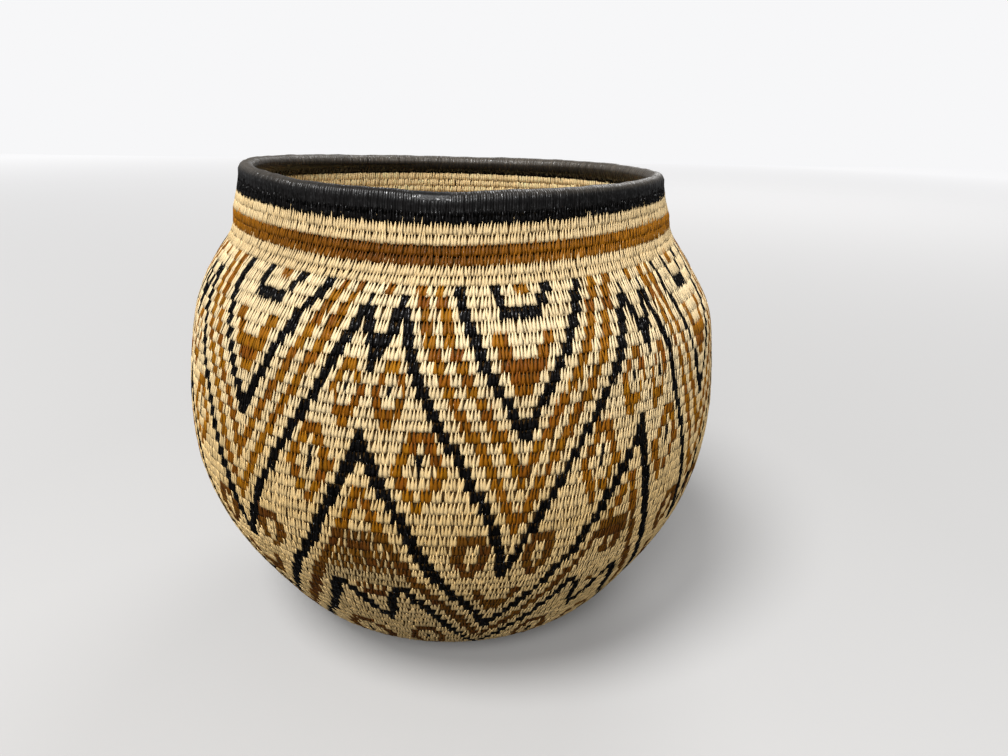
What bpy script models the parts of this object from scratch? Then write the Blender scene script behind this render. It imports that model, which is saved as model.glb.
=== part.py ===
# A coiled basket: one fibre coil that starts at a knot in the middle of the floor and
# climbs round and round to a thick black rim. Metres, +Z up, origin in the middle of
# the underside. The piece of coil that is laid in one go is a course, and each course
# is its own solid. A course is an open turn: it starts and ends at the back, and its
# end lies one round higher than its start, so that the next course carries it on.
import math

import bpy
import numpy as np

# The outside of the basket, as steps out (or in) and up from the edge of the flat floor
FLOOR_RADIUS = 0.042
FOOT_OUT = 0.036
FOOT_UP = 0.012
LOWER_WALL_OUT = 0.022
LOWER_WALL_UP = 0.027
UPPER_WALL_OUT = 0.016
UPPER_WALL_UP = 0.031
BELLY_OUT = 0.006
BELLY_UP = 0.035
OVER_BELLY_IN = 0.0016
OVER_BELLY_UP = 0.027
SHOULDER_IN = 0.0042
SHOULDER_UP = 0.0235
NECK_IN = 0.0084
NECK_UP = 0.0152
THROAT_IN = 0.0092
THROAT_UP = 0.0153
MOUTH_IN = 0.0050
MOUTH_UP = 0.0171

# The coil
COIL_THICKNESS = 0.0046
ROUND_GROOVE = 0.0006
NECK_ROUND_HEIGHT = 0.00353
BLACK_ROUND_HEIGHT = 0.0058
RIM_COIL_RADIUS = 0.0033
RIM_LEAN_IN = 0.0009
GAP = 0.0003

# How many rounds each stretch of the coil has
KNOT_ROUNDS = 1
FLOOR_COURSES = 3
WALL_COURSES = 17
ROUNDS_PER_COURSE = 3
NECK_BAND_ROUNDS = 2
NECK_BANDS = ("cream_band_lower", "brown_band", "cream_band_upper")

# How finely the solids are faceted
WALL_SEGMENTS = 32
FLOOR_SEGMENTS = 24
RIM_SIDES = 8
CURVE_STEPS = 40

# Colour, roughness and metallic value of each fibre
FIBRES = {
    "cream_fibre": ((0.62, 0.46, 0.25), 0.62, 0.0),
    "brown_fibre": ((0.22, 0.085, 0.022), 0.60, 0.0),
    "black_fibre": ((0.012, 0.011, 0.011), 0.42, 0.0),
    "mixed_fibre": ((0.36, 0.23, 0.11), 0.62, 0.0),
}


def clear_scene():
    for thing in list(bpy.data.objects):
        bpy.data.objects.remove(thing, do_unlink=True)


def outside_stations():
    """The points (radius, height) that the outside of the wall passes through."""
    steps = [
        (FOOT_OUT, FOOT_UP),
        (LOWER_WALL_OUT, LOWER_WALL_UP),
        (UPPER_WALL_OUT, UPPER_WALL_UP),
        (BELLY_OUT, BELLY_UP),
        (-OVER_BELLY_IN, OVER_BELLY_UP),
        (-SHOULDER_IN, SHOULDER_UP),
        (-NECK_IN, NECK_UP),
        (-THROAT_IN, THROAT_UP),
        (-MOUTH_IN, MOUTH_UP),
    ]
    stations = [(FLOOR_RADIUS, 0.0)]
    for out, up in steps:
        radius, height = stations[-1]
        stations.append((radius + out, height + up))
    return np.array(stations)


def smooth_curve(stations):
    """A cubic curve through the stations that leaves the floor flat."""
    chords = np.hypot(*np.diff(stations, axis=0).T)
    slopes = np.diff(stations, axis=0) / chords[:, None]
    share = (chords[1:] / (chords[1:] + chords[:-1]))[:, None]
    tangents = np.zeros_like(stations)
    tangents[0] = (1.0, 0.0)
    tangents[1:-1] = slopes[:-1] * share + slopes[1:] * (1.0 - share)
    tangents[-1] = 2.0 * slopes[-1] - tangents[-2]
    u = np.linspace(0.0, 1.0, CURVE_STEPS, endpoint=False)[:, None]
    pieces = [np.zeros((1, 2))]
    for i, chord in enumerate(chords):
        start = (2 * u**3 - 3 * u**2 + 1) * stations[i]
        leave = (u**3 - 2 * u**2 + u) * chord * tangents[i]
        finish = (3 * u**2 - 2 * u**3) * stations[i + 1]
        arrive = (u**3 - u**2) * chord * tangents[i + 1]
        pieces.append(start + leave + finish + arrive)
    pieces.append(stations[-1:])
    return np.concatenate(pieces)


OUTSIDE = smooth_curve(outside_stations())
ARC = np.concatenate([[0.0], np.cumsum(np.hypot(*np.diff(OUTSIDE, axis=0).T))])
WALL_LENGTH = ARC[-1]
FLOOR_ROUNDS = FLOOR_COURSES * ROUNDS_PER_COURSE
WALL_ROUNDS = WALL_COURSES * ROUNDS_PER_COURSE
BODY_ROUNDS = KNOT_ROUNDS + FLOOR_ROUNDS + WALL_ROUNDS
NECK_ROUNDS = NECK_BAND_ROUNDS * len(NECK_BANDS)
NECK_LENGTH = NECK_ROUNDS * NECK_ROUND_HEIGHT
BODY_LENGTH = WALL_LENGTH - BLACK_ROUND_HEIGHT - NECK_LENGTH
BODY_ROUND_HEIGHT = BODY_LENGTH / BODY_ROUNDS


def section_point(along, depth):
    """The point (radius, height) at a distance along the outside from the middle of
    the floor, and at a depth under it, square to it."""
    step = WALL_LENGTH / 400
    here = np.array([np.interp(along, ARC, OUTSIDE[:, k]) for k in (0, 1)])
    ahead = np.array([np.interp(along + step, ARC, OUTSIDE[:, k]) for k in (0, 1)])
    behind = np.array([np.interp(along - step, ARC, OUTSIDE[:, k]) for k in (0, 1)])
    tangent = (ahead - behind) / np.hypot(*(ahead - behind))
    return here + depth * np.array([-tangent[1], tangent[0]])


def coil_along(turn):
    """How far along the outside the coil has come after this many turns."""
    body = min(turn, BODY_ROUNDS) * BODY_ROUND_HEIGHT
    return body + max(turn - BODY_ROUNDS, 0.0) * NECK_ROUND_HEIGHT


def around(radius, height, share):
    """The place of a section point at a share of the turn, which starts at the back
    and goes by the left, the front and the right."""
    angle = math.pi + 2.0 * math.pi * share
    return (radius * math.sin(angle), -radius * math.cos(angle), height)


def make_material(name):
    colour, roughness, metallic = FIBRES[name]
    material = bpy.data.materials.get(name) or bpy.data.materials.new(name)
    material.use_nodes = True
    shader = material.node_tree.nodes["Principled BSDF"]
    shader.inputs["Base Color"].default_value = (*colour, 1.0)
    shader.inputs["Roughness"].default_value = roughness
    shader.inputs["Metallic"].default_value = metallic
    return material


def make_object(name, points, faces, fibre):
    mesh = bpy.data.meshes.new(name)
    mesh.from_pydata(points, [], faces)
    mesh.materials.append(make_material(fibre))
    mesh.shade_smooth()
    mesh.set_sharp_from_angle(angle=math.radians(50))
    mesh.validate()
    thing = bpy.data.objects.new(name, mesh)
    bpy.context.scene.collection.objects.link(thing)
    return thing


def sweep_open_turn(name, sections, shares, fibre):
    """Joins one closed section per share of the turn, and caps both ends."""
    count = len(sections[0])
    points = []
    for section, share in zip(sections, shares):
        points += [around(radius, height, share) for radius, height in section]
    faces = [tuple(range(count))]
    for ring in range(len(sections) - 1):
        low = ring * count
        high = low + count
        for i in range(count):
            j = (i + 1) % count
            faces.append((low + i, high + i, high + j, low + j))
    last = (len(sections) - 1) * count
    faces.append(tuple(reversed(range(last, last + count))))
    return make_object(name, points, faces, fibre)


def turn_shares(first_along, segments):
    """Shares of a turn from its start to its end, which stay half a gap apart."""
    radius = section_point(first_along, 0.0)[0]
    margin = GAP / 2.0 / (2.0 * math.pi * radius)
    return np.linspace(margin, 1.0 - margin, segments + 1)


def course_section(edges):
    """The section of a course whose rounds meet at the edges: a ridge for each round
    on the outside, and one soft swell on the inside."""
    low = edges[0] + GAP / 2.0
    high = edges[-1] - GAP / 2.0
    outside = [section_point(low, ROUND_GROOVE)]
    for start, end in zip(edges[:-1], edges[1:]):
        outside.append(section_point((start + end) / 2.0, 0.0))
        outside.append(section_point(min(end, high), ROUND_GROOVE))
    shallow = COIL_THICKNESS - ROUND_GROOVE
    inside = [
        section_point(high, shallow),
        section_point((low + high) / 2.0, COIL_THICKNESS),
        section_point(low, shallow),
    ]
    return outside + inside


def make_course(name, first, rounds, fibre, segments=WALL_SEGMENTS, top=None):
    """A course of coil from turn number first. Its top follows the next course, or
    stays level where top gives its place along the outside."""
    shares = turn_shares(coil_along(first), segments)
    sections = []
    for share in shares:
        edges = [coil_along(first + k + share) for k in range(rounds)]
        edges.append(coil_along(first + rounds + share) if top is None else top)
        sections.append(course_section(edges))
    return sweep_open_turn(name, sections, shares, fibre)


def make_start_knot(name, fibre):
    """The first turns of the coil, drawn tight into a small flat snail."""
    shares = turn_shares(coil_along(KNOT_ROUNDS), FLOOR_SEGMENTS)
    rims = [coil_along(KNOT_ROUNDS + share) - GAP / 2.0 for share in shares]
    points = [(0.0, 0.0, 0.0), (0.0, 0.0, COIL_THICKNESS)]
    for rim, share in zip(rims, shares):
        points.append(around(rim, 0.0, share))
        points.append(around(rim, COIL_THICKNESS, share))
    faces = []
    for i in range(len(shares) - 1):
        a = 2 + 2 * i
        b = a + 2
        faces.append((0, b, a))
        faces.append((1, a + 1, b + 1))
        faces.append((a, b, b + 1, a + 1))
    end = 2 + 2 * (len(shares) - 1)
    faces.append((0, 2, 3, 1))
    faces.append((0, 1, end + 1, end))
    return make_object(name, points, faces, fibre)


def make_rim_coil(name, fibre):
    """The thick black coil that tops the wall, with its end cut square at the back."""
    seat = WALL_LENGTH
    middle = (section_point(seat, 0.0) + section_point(seat, COIL_THICKNESS)) / 2.0
    direction = middle - (
        section_point(seat - COIL_THICKNESS, 0.0)
        + section_point(seat - COIL_THICKNESS, COIL_THICKNESS)
    ) / 2.0
    direction /= np.hypot(*direction)
    centre = middle + direction * (RIM_COIL_RADIUS + GAP)
    centre[0] -= RIM_LEAN_IN
    section = []
    for i in range(RIM_SIDES):
        angle = 2.0 * math.pi * i / RIM_SIDES
        section.append(
            (
                centre[0] + RIM_COIL_RADIUS * math.cos(angle),
                centre[1] + RIM_COIL_RADIUS * math.sin(angle),
            )
        )
    shares = turn_shares(WALL_LENGTH, WALL_SEGMENTS)
    return sweep_open_turn(name, [section] * len(shares), shares, fibre)


def build():
    clear_scene()
    make_start_knot("start_knot", "cream_fibre")
    turn = KNOT_ROUNDS
    for i in range(FLOOR_COURSES):
        name = f"floor_course_{i + 1}"
        make_course(name, turn, ROUNDS_PER_COURSE, "cream_fibre", FLOOR_SEGMENTS)
        turn += ROUNDS_PER_COURSE
    for i in range(WALL_COURSES):
        name = f"wall_course_{i + 1:02d}"
        make_course(name, turn, ROUNDS_PER_COURSE, "mixed_fibre")
        turn += ROUNDS_PER_COURSE
    for band in NECK_BANDS:
        fibre = "brown_fibre" if band.startswith("brown") else "cream_fibre"
        make_course(f"neck_{band}", turn, NECK_BAND_ROUNDS, fibre)
        turn += NECK_BAND_ROUNDS
    make_course("neck_black_round", turn, 1, "black_fibre", top=WALL_LENGTH)
    make_rim_coil("rim_coil", "black_fibre")


build()
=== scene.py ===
# A coiled palm fibre basket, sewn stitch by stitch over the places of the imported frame.
# Metres, +Z up. Angles run round the axis: 0 at the front (-Y), growing to the right.
import math

import bpy
import numpy as np
from mathutils import Matrix, Vector


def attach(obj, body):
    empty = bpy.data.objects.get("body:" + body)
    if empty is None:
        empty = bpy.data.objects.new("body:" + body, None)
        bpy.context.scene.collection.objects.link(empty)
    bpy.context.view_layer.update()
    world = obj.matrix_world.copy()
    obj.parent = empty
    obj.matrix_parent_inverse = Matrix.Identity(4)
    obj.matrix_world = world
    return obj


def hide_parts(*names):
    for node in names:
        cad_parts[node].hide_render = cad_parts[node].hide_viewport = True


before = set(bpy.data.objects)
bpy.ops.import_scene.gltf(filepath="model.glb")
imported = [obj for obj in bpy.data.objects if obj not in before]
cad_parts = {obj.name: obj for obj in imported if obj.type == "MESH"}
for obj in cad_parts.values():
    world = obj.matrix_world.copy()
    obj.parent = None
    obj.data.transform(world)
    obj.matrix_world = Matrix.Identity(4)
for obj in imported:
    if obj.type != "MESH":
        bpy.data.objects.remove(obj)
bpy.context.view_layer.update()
print("frame loaded")

mm = 0.001  # where hand work is given in millimetres

# The outside of the wall, as steps out (or in) and up from the edge of the floor
wall = dict(
    floorRadius=0.042,
    stepsOut=(0.036, 0.022, 0.016, 0.006, -0.0016, -0.0042, -0.0084, -0.0092, -0.0050),
    stepsUp=(0.012, 0.027, 0.031, 0.035, 0.027, 0.0235, 0.0152, 0.0153, 0.0171),
    pointsPerStep=40,
    evenPoints=1201,  # along its whole length, to look its places up in
)

# The coil that the wall is laid from, and how its rounds are shared out
coil = dict(
    thickness=0.0046,
    knotRounds=1,
    floorCourses=3,
    wallCourses=17,
    roundsPerCourse=3,
    neckBandRounds=2,
    neckRoundHeight=0.00353,
    blackRoundHeight=0.0058,
    waverHeight=0.0013,  # how far the maker's rounds stray from even heights
    waverRounds=16.5,
    waverTop=6.5,
    waverFadeUnderNeck=3.0,  # rounds over which it fades out
    waverFadeOverFloor=8.0,
    brownEarly=0.22,  # turns before the back where the brown band starts and ends
    blackLate=0.208,  # turns past the back where the black round starts
    leastRadius=0.002,
)

# Hand work isn't even. The rounds drift along the wall by some mm, given for some
# angles at some lengths along the wall (mm), and the neck and rim are lifted by some mm
unevenWall = dict(
    smoothedOver=21,  # degrees
    driftAngles=(-180, -120, -85, -60, -40, -20, 0, 20, 40, 60, 85, 120, 180),
    drift={
        60: (0, 0, 0, 0, 0, 0, 0, 0, 0, 0, 0, 0, 0),
        104: (-1, -1, -1, -0.8, 0.5, 0.6, 0.6, -0.8, -2.5, -3.0, -2.5, -1, -1),
        120: (-1, -1, -0.6, 0.6, 2.0, 0.8, 0.5, -2.0, -4.9, -4.4, -3.0, -1.3, -1),
        144: (-1, -1, 0.4, 2.3, 2.1, 0.9, 0.6, -2.5, -3.8, -3.0, -2.4, -1.5, -1),
        168: (-1.2, -1.2, -0.4, 0.2, -2.0, -0.6, -0.4, -2.8, -4.3, -2.8, -2, -1.5, -1.2),
        192: (-1.5, -1.5, -1.0, 0, -2.8, -1.3, -0.6, -3.3, -4.6, -3.3, -2, -1.5, -1.5),
        216: (-1.2, -0.8, 0.4, 2.0, -0.4, -0.6, -0.2, -0.9, -3.1, -3.6, -2.4, -1.2, -1.2),
        240: (-0.8, -0.4, 1.0, 2.7, 1.3, -0.4, -0.3, 0, -1.7, -2.6, -1.8, -0.8, -0.8),
        252: (-0.5, -0.2, 0.9, 2.0, 1.1, -0.3, -0.4, -0.1, -1.2, -1.7, -0.9, -0.4, -0.5),
        264: (-0.3, -0.1, 1.1, 1.8, 1.1, 0, -0.3, 0, 0.3, 1.2, 1.6, 0.3, -0.3),
        290: (0, 0, 0, 0, 0, 0, 0, 0, 0, 0, 0, 0, 0),
    },
    liftAt=(-180, -150, -120, -105, -90, -75, -60, -45, -30, -15, -5, 10, 25, 40, 60, 75,
            90, 110, 130, 160, 180),
    lift=(-0.8, -0.5, 0.7, 1.6, 2.2, 2.3, 2.2, 1.3, 0.2, -0.4, -0.8, -0.6, -0.1, 0.6, 1.2,
          0.9, 0.3, 0.2, 0, -1.0, -0.8),
    liftFrom=0.232,
    liftTo=0.284,
    # The wall is drawn in or bulges a little on the left and on the right (mm)
    pullAt=(150, 172, 190, 212, 230, 240, 250, 262, 268, 273, 279, 290),
    pullLeft=(0, 0.5, -0.4, -0.7, -1.8, -1.4, -0.6, -1.2, -2.1, -1.5, 0.3, 0),
    pullRight=(0, 0.4, 0.5, 0.8, 0.8, 0.5, 0, -0.5, -1.2, -1.0, 0.3, 0),
)


def outsideCurve():
    # Cubic curve through the stations of the wall, level where it leaves the floor:
    # each stretch blends its two end points and its two end tangents
    stations = np.cumsum(
        [(wall["floorRadius"], 0.0)] + list(zip(wall["stepsOut"], wall["stepsUp"])), axis=0
    )
    chords = np.hypot(*np.diff(stations, axis=0).T)
    slopes = np.diff(stations, axis=0) / chords[:, None]
    share = (chords[1:] / (chords[1:] + chords[:-1]))[:, None]
    tangents = np.zeros_like(stations)
    tangents[0] = (1.0, 0.0)
    tangents[1:-1] = slopes[:-1] * share + slopes[1:] * (1.0 - share)
    tangents[-1] = 2.0 * slopes[-1] - tangents[-2]
    u = np.linspace(0.0, 1.0, wall["pointsPerStep"], endpoint=False)[None, :, None]
    reach = chords[:, None, None]
    stretches = (
        (2 * u**3 - 3 * u**2 + 1) * stations[:-1, None]
        + (u**3 - 2 * u**2 + u) * reach * tangents[:-1, None]
        + (3 * u**2 - 2 * u**3) * stations[1:, None]
        + (u**3 - u**2) * reach * tangents[1:, None]
    )
    return np.concatenate([np.zeros((1, 2)), stretches.reshape(-1, 2), stations[-1:]])


outside = outsideCurve()
arc = np.concatenate([[0.0], np.cumsum(np.hypot(*np.diff(outside, axis=0).T))])
wallLength = arc[-1]
evenArc = np.linspace(0.0, wallLength, wall["evenPoints"])
evenPoints = np.stack([np.interp(evenArc, arc, outside[:, k]) for k in (0, 1)], axis=1)
tangent = np.gradient(evenPoints, evenArc, axis=0)
tangent /= np.hypot(*tangent.T)[:, None]
inward = np.stack([-tangent[:, 1], tangent[:, 0]], axis=1)

wallStart = coil["knotRounds"] + coil["floorCourses"] * coil["roundsPerCourse"]
bodyRounds = wallStart + coil["wallCourses"] * coil["roundsPerCourse"]
neckTop = bodyRounds + 3 * coil["neckBandRounds"]
brownStart = bodyRounds + coil["neckBandRounds"] - coil["brownEarly"]
brownEnd = brownStart + coil["neckBandRounds"]
blackStart = neckTop + coil["blackLate"]
neckLength = 3 * coil["neckBandRounds"] * coil["neckRoundHeight"]
bodyRoundHeight = (wallLength - coil["blackRoundHeight"] - neckLength) / bodyRounds


def smoothStep(x):
    # From 0 to 1 with a soft start and end: three x squared less two x cubed
    return np.clip(x, 0.0, 1.0) ** 2 * (3.0 - 2.0 * np.clip(x, 0.0, 1.0))


def eachDegree(angles, values):
    # The values at every degree from -180 to 180, smoothed by a running mean, with the
    # ends joined round the back
    window = unevenWall["smoothedOver"]
    reach = window // 2
    degrees = (np.arange(-180.0 - reach, 181.0 + reach) + 180.0) % 360.0 - 180.0
    return np.convolve(np.interp(degrees, angles, values), np.ones(window) / window, mode="valid")


evenDegrees = np.arange(-180.0, 181.0)
evenLift = eachDegree(unevenWall["liftAt"], unevenWall["lift"])
evenDrift = np.stack(
    [eachDegree(unevenWall["driftAngles"], line) for line in unevenWall["drift"].values()]
)


def liftOf(angle, along):
    # The lift at this angle, which comes in softly between two lengths along the wall
    share = smoothStep(
        (along - unevenWall["liftFrom"]) / (unevenWall["liftTo"] - unevenWall["liftFrom"])
    )
    degrees = (np.degrees(angle) + 180.0) % 360.0 - 180.0
    return mm * np.interp(degrees, evenDegrees, evenLift) * share


def driftOf(angle, along):
    # Blend of the four nearest values: two lines of the table, two whole degrees
    lines = list(unevenWall["drift"])
    line = np.interp(along * 1000.0, lines, np.arange(len(lines)))
    degrees = np.degrees(angle) % 360.0
    degrees = np.where(degrees >= 180.0, degrees - 180.0, degrees + 180.0)
    line, degrees = np.broadcast_arrays(line, degrees)
    lowLine = np.minimum(line.astype(int), len(lines) - 2)
    lowDegree = np.minimum(degrees.astype(int), 359)
    up, right = line - lowLine, degrees - lowDegree

    def onLine(k):
        return evenDrift[k, lowDegree] * (1.0 - right) + evenDrift[k, lowDegree + 1] * right

    return mm * (onLine(lowLine) * (1.0 - up) + onLine(lowLine + 1) * up)


def pullOf(angle, along):
    # Full at a quarter turn to either side, fading with the sine squared
    left, right = (
        mm * np.interp(along * 1000.0, unevenWall["pullAt"], unevenWall[side])
        for side in ("pullLeft", "pullRight")
    )
    across = np.sin(angle)
    return np.where(across < 0.0, left, right) * across**2


def alongOf(turn, angle):
    # Length along the wall after this many turns: even rounds, with a slow wave that
    # fades out under the neck and over the floor, and the drift at this angle
    even = np.minimum(turn, bodyRounds) * bodyRoundHeight
    even = even + np.maximum(turn - bodyRounds, 0.0) * coil["neckRoundHeight"]
    below = bodyRounds - turn
    fade = np.clip(below / coil["waverFadeUnderNeck"], 0.0, 1.0)
    fade = fade * np.clip((turn - wallStart) / coil["waverFadeOverFloor"], 0.0, 1.0)
    phase = 2.0 * np.pi * (below - coil["waverTop"]) / coil["waverRounds"]
    waved = np.maximum(even - coil["waverHeight"] * np.cos(phase) * fade, 0.0)
    return waved + driftOf(angle, waved)


def place(angle, along, depth):
    # Point on the wall: the outside curve at a length along it, moved square to the
    # curve by the depth, and turned round the axis by the angle
    here = np.clip(along, 0.0, wallLength)
    past = along - here
    radius = np.interp(here, evenArc, evenPoints[:, 0])
    height = np.interp(here, evenArc, evenPoints[:, 1])
    radius = radius + depth * np.interp(here, evenArc, inward[:, 0])
    height = height + depth * np.interp(here, evenArc, inward[:, 1])
    radius = radius + past * tangent[-1, 0] + pullOf(angle, here)
    height = height + past * tangent[-1, 1] + liftOf(angle, along)
    return np.stack([radius * np.sin(angle), -radius * np.cos(angle), height], axis=-1)


def radiusAt(along):
    return np.maximum(np.interp(along, evenArc, evenPoints[:, 0]), coil["leastRadius"])


cream, brown, black, tan = 0, 1, 2, 3  # numbers of the fibres, tan is cream dyed faintly

# The figures, in rounds below the neck and in degrees of one repeat. Each repeat has
# a V in its middle (0) and an M at its edge (25.7 degrees).
figures = dict(
    repeats=7,
    seenRounds=(0, 3, 6, 12, 19, 26, 32, 38),
    # Where the middle lines of the figures at the front fall at those rounds:
    # V, M, V, M, V from the left. The others share the rest of the turn evenly.
    seenMiddles=(
        (-36.1, -39.8, -39.9, -40.6, -42.7, -43.9, -42.5, -43.4),
        (-12.3, -13.1, -13.9, -15.6, -16.5, -17.0, -15.3, -14.2),
        (12.4, 12.0, 11.6, 11.5, 10.3, 8.2, 7.5, 5.8),
        (38.5, 38.1, 37.8, 35.2, 32.1, 29.6, 28.4, 28.0),
        (57.6, 57.5, 57.5, 56.4, 53.8, 51.5, 50.1, 50.5),
    ),
    # Half widths of the lines in degrees, and of those that are wider
    halfWidth=0.95,
    wider=dict(brownCup=1.15, lambdaLine=1.15, lowerMInner=1.1, lowerMOuter=1.25),
    # Lines as (round, degrees from the middle of the V)
    innerBlackV=((0, 12.0), (1, 11.4), (4, 8.7), (12, -0.2)),
    outerBlackV=((2, 21.8), (10, 14.9), (19, 4.5), (22, 2.0), (25, 0.2)),
    outerBrownV=((0, 19.4), (5, 15.6), (20, -0.2)),
    innerBrownV=((0, 15.8), (4, 12.9), (16, -0.3)),
    blackCup=((0, 4.9), (1, 4.1)),
    brownCup=((4, 4.4), (5, 3.3)),
    lowCup=((28, 4.3), (29, 3.7)),
    # Lines as (round, degrees from the middle of the M)
    upperM=((2, 2.9), (3, 2.1)),
    lambdaLine=((12, -0.5), (14, 1.15), (20, 7.4), (24, 11.5), (28, 16.2), (30, 18.8),
                (35, 25.9)),
    lambdaRunOn=1.75,  # degrees a round, where the brown line goes on under it
    # How far the brown line lies inside the black one, and its half width, by round
    brownLambdaGap=((17, 4.0), (24, 4.4), (29, 5.3), (38, 5.3)),
    brownLambdaHalf=((26, 1.0), (27, 1.3)),
    lowerMInner=((28, 5.9), (29, 4.4), (30, 3.3), (32, 2.0), (33, 1.0)),
    lowerMOuter=((28, 6.6), (34, 13.4), (41, 25.8)),
    # Solid rows as (round, half width in degrees) round the middle of the V or the M
    upperMFloor=((4, 2.3), (5, 1.3), (6, 0.6)),
    blackCupFloor=((2, 4.0),),
    blackTip=((11, 2.0), (12, 1.0)),
    zigzagTip=((34, 2.3), (35, 1.3)),
    brownCupFloor=((6, 3.9), (7, 2.6), (8, 1.5)),
    lowCupFloor=((30, 3.1), (31, 1.9)),
    # Single spots as (round, degrees from the middle, half width, fibre)
    spotsFromV=((0, 0.0, 1.4, brown),),
    spotsFromM=((0, 0.0, 0.6, brown), (1, 3.3, 0.45, black), (17, 0.0, 1.2, brown),
                (34, 0.0, 0.5, black)),
    # Rings: middle in degrees from the V, first round, then the half widths of the
    # outer edge and of the hole for each round
    smallRing=dict(middle=22.05, first=6, outer=(1.2, 2.0, 2.9, 2.2, 2.0, 0.9),
                   hole=(0, 0.9, 1.8, 1.1, 0, 0), dotRounds=(8,)),
    largeRing=dict(middle=16.3, first=12, outer=(1.9, 2.5, 3.6, 4.6, 3.6, 2.4, 0.8),
                   hole=(0, 0.6, 1.8, 2.6, 1.8, 0.4, 0), dotRounds=(14, 15)),
    plainRing=dict(middle=6.6, first=21, outer=(2.4, 3.5, 3.5, 2.6, 1.1),
                   hole=(0, 1.2, 1.2, 0.4, 0), dotRounds=()),
    lowRing=dict(middle=17.2, first=36, outer=(2.9, 4.6, 5.8, 6.0, 5.0, 3.6, 1.4),
                 hole=(0, 2.2, 3.4, 3.6, 2.6, 0, 0), dotRounds=(38, 39)),
    dotHalfWidth=0.36,
)

# The field inside the big zigzag, under each M: first and last rounds, and degrees
# from the middle of the M. Most fields are speckled, and one has a bar with two legs
field = dict(
    inset=1.4,  # from the middle of the brown line
    tanRounds=(21, 27),
    speckRounds=(21, 25),
    heartRounds=(22, 24),
    heartMiddle=1.2,
    heartHalf=0.7,
    fringeRounds=(28, 28),
    fringeHalf=3.0,
    knobRounds=(29, 29),
    knobHalf=2.1,
    barredBetween=(2, 3),  # to the right of these middle lines
    barRounds=(21, 22),
    legRounds=(23, 24),
    legMiddle=1.5,
    legHalf=0.9,
    barredKnobHalf=1.2,
)


def repeatPlace(row, degrees):
    # Degrees from the nearest V and from the nearest M, by the middle lines either side,
    # and the number of the line to the left
    lines = 2 * figures["repeats"]
    half = 180.0 / figures["repeats"]
    seen = [np.interp(row, figures["seenRounds"], line) for line in figures["seenMiddles"]]
    unseen = np.linspace(seen[-1], seen[0] + 360.0, lines - len(seen) + 2)[1:]
    middles = np.concatenate([seen, unseen])
    turned = (degrees - middles[0]) % 360.0 + middles[0]
    index = np.clip(np.searchsorted(middles, turned, side="right") - 1, 0, lines - 1)
    part = (turned - middles[index]) / (middles[index + 1] - middles[index])
    fromV = np.where(index % 2 == 0, part, 1.0 - part) * half
    return fromV, half - fromV, index


def figureColour(row, degrees):
    # Colour of each stitch of one round: plain cream, then each figure laid over it
    fromV, fromM, leftLine = repeatPlace(row, degrees)
    colour = np.full(len(degrees), cream)

    def leg(where, name, fibre):
        rounds, middles = zip(*figures[name])
        if rounds[0] <= row <= rounds[-1]:
            width = figures["wider"].get(name, figures["halfWidth"])
            colour[np.abs(where - np.interp(row, rounds, middles)) <= width] = fibre

    def solid(where, name, fibre):
        for at, width in figures[name]:
            if row == at:
                colour[where <= width] = fibre

    def patch(rounds, where, fibre):
        if field[rounds][0] <= row <= field[rounds][-1]:
            colour[where] = fibre

    for name, fibre in (
        ("outerBrownV", brown), ("innerBrownV", brown), ("innerBlackV", black),
        ("outerBlackV", black), ("blackCup", black), ("brownCup", brown), ("lowCup", brown),
    ):
        leg(fromV, name, fibre)
    for name, fibre in (
        ("blackCupFloor", black), ("blackTip", black), ("brownCupFloor", brown),
        ("lowCupFloor", brown),
    ):
        solid(fromV, name, fibre)
    for name in ("smallRing", "largeRing", "plainRing", "lowRing"):
        shape = figures[name]
        step = row - shape["first"]
        if 0 <= step < len(shape["outer"]):
            off = np.abs(fromV - shape["middle"])
            colour[(off <= shape["outer"][step]) & (off >= shape["hole"][step])] = brown
            if row in shape["dotRounds"]:
                colour[off <= figures["dotHalfWidth"]] = black
    leg(fromM, "upperM", black)
    solid(fromM, "upperMFloor", black)

    # The big black zigzag, the brown line inside it, and the field that they enclose
    leg(fromM, "lambdaLine", black)
    middle = np.interp(row, *zip(*figures["lambdaLine"]))
    runOn = max(row - figures["lambdaLine"][-1][0], 0) * figures["lambdaRunOn"]
    rounds, gaps = zip(*figures["brownLambdaGap"])
    brownMiddle = middle + runOn - np.interp(row, rounds, gaps)
    if rounds[0] <= row <= rounds[-1]:
        width = np.interp(row, *zip(*figures["brownLambdaHalf"]))
        colour[np.abs(fromM - brownMiddle) <= width] = brown
    inField = fromM < brownMiddle - field["inset"]
    oddStitch = np.arange(len(degrees)) % 2 == 1
    barred = np.isin(leftLine, field["barredBetween"])
    legs = np.abs(fromM - field["legMiddle"]) <= field["legHalf"]
    heart = np.abs(fromM - field["heartMiddle"]) <= field["heartHalf"]
    fringe = fromM <= field["fringeHalf"]
    knob = fromM <= np.where(barred, field["barredKnobHalf"], field["knobHalf"])
    patch("barRounds", inField & barred, brown)
    patch("legRounds", inField & barred & legs, brown)
    patch("tanRounds", inField & ~barred, tan)
    patch("speckRounds", inField & ~barred & oddStitch, brown)
    patch("heartRounds", heart & ~barred, brown)
    patch("fringeRounds", fringe & oddStitch & ~barred, brown)
    patch("knobRounds", knob, brown)
    leg(fromM, "lowerMInner", black)
    leg(fromM, "lowerMOuter", black)
    solid(fromV, "zigzagTip", black)
    for where, spots in ((fromV, "spotsFromV"), (fromM, "spotsFromM")):
        for at, spot, width, fibre in figures[spots]:
            if row == at:
                colour[np.abs(where - spot) <= width] = fibre
    return colour


print("figures laid out")

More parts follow.
